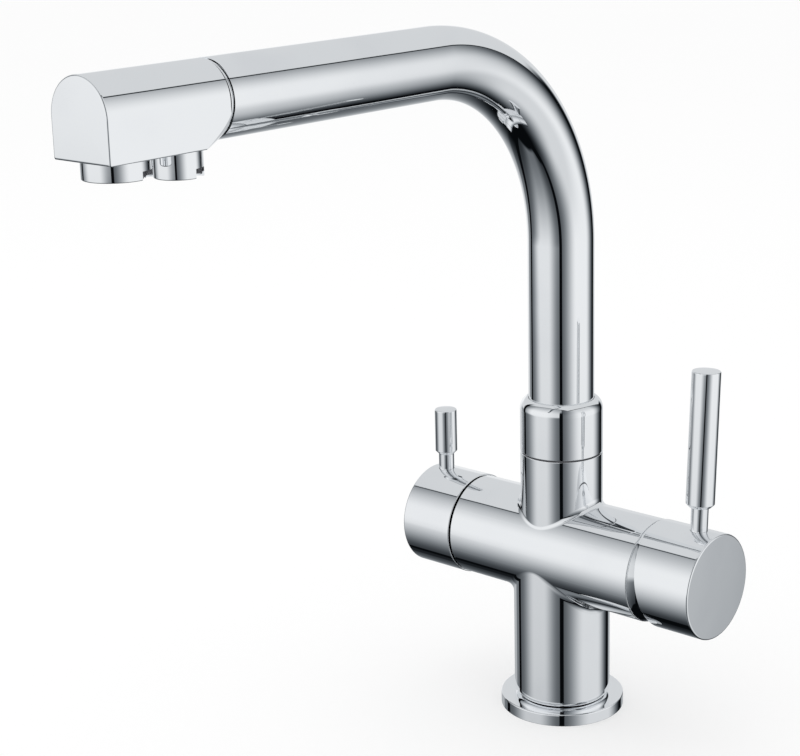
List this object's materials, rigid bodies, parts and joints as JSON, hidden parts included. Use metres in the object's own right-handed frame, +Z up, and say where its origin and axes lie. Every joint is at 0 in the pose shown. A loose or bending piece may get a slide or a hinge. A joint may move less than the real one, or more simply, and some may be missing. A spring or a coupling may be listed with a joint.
{
  "type": "drinking water filter tap",
  "caption": "Kitchen tap whose swivelling spout carries mixed water and filtered water apart, with a long mixing lever on one side and a short filter lever on the other.",
  "frame": {"origin": "centre of the flange's underside, on the axis of the column and of the spout's swivel, where the tap stands on the sink or worktop", "axes": "+Z up the column; -Y the way the spout points at rest; +X along the barrel to the mixing knob, -X to the filter knob"},
  "size_m": [0.1523, 0.277, 0.305],
  "materials": {
    "chrome": "polished chrome plate on brass",
    "brass": "turned brass, unplated",
    "steel": "bright stainless steel",
    "seal": "black moulded rubber",
    "ceramic": "lapped white alumina ceramic",
    "acetal": "moulded acetal",
    "water_hose": "drawn polyethylene tube"
  },
  "bodies": {
    "stand": {"base_flange": "chrome", "base_seal": "seal", "body": "chrome", "inlet_block": "brass", "mixer_cartridge_housing": "acetal", "mixer_port_seals": "seal", "mixer_fixed_disc": "ceramic", "mixer_retaining_nut": "brass", "mixer_dome_ring": "chrome", "filter_headwork_body": "brass", "filter_headwork_washer": "seal", "filter_seat_seal": "seal", "filter_fixed_disc": "ceramic", "spout_slip_bush": "acetal", "spout_retaining_screw": "steel"},
    "mixer_turning": {"mixer_rotor": "acetal", "mixer_stem_pin": "steel"},
    "mixer_sliding": {"mixer_disc_carrier": "acetal", "mixer_moving_disc": "ceramic"},
    "mixer_handle": {"mixer_stem": "steel", "mixer_knob": "chrome", "mixer_lever": "chrome", "mixer_grub_screw": "steel"},
    "filter_handle": {"filter_spindle": "brass", "filter_moving_disc": "ceramic", "filter_spindle_rings": "seal", "filter_spindle_clip": "steel", "filter_knob": "chrome", "filter_lever": "chrome", "filter_grub_screw": "steel"},
    "spout": {"spout_spigot": "brass", "spout_spigot_rings": "seal", "spout_collar": "chrome", "spout_tube": "chrome", "filter_tube": "water_hose", "filter_nipple": "brass", "filter_nipple_ring": "seal", "head_joint_ring": "chrome", "head_joint_seal": "seal", "spout_head": "chrome", "main_aerator_housing": "chrome", "main_aerator_insert": "acetal", "main_aerator_gasket": "seal", "filter_nozzle_housing": "chrome", "filter_nozzle_insert": "acetal", "filter_nozzle_gasket": "seal"}
  },
  "joints": [
    {"name": "spout_swivel", "type": "hinge", "parent": "stand", "child": "spout", "pos_m": [0, 0, 0.1173], "axis": [0, 0, 1], "continuous": true},
    {"name": "mixer_turn", "type": "hinge", "parent": "stand", "child": "mixer_turning", "pos_m": [0.0396, 0, 0.0737], "axis": [1, 0, 0], "range_deg": [-42, 48]},
    {"name": "mixer_tilt", "type": "hinge", "parent": "mixer_turning", "child": "mixer_handle", "pos_m": [0.0396, 0, 0.0737], "axis": [0, 0.9986, -0.0523], "range_deg": [0, 25]},
    {"name": "mixer_disc_slide", "type": "slide", "parent": "mixer_turning", "child": "mixer_sliding", "axis": [0, 0.0523, 0.9986], "range_m": [0, 0.00254]},
    {"name": "filter_turn", "type": "hinge", "parent": "stand", "child": "filter_handle", "pos_m": [-0.0653, 0, 0.0737], "axis": [1, 0, 0], "range_deg": [0, 90]}
  ],
  "couplings": [
    {"joint": "mixer_disc_slide", "follows": "mixer_tilt", "m_per_rad": 0.0058114}
  ]
}
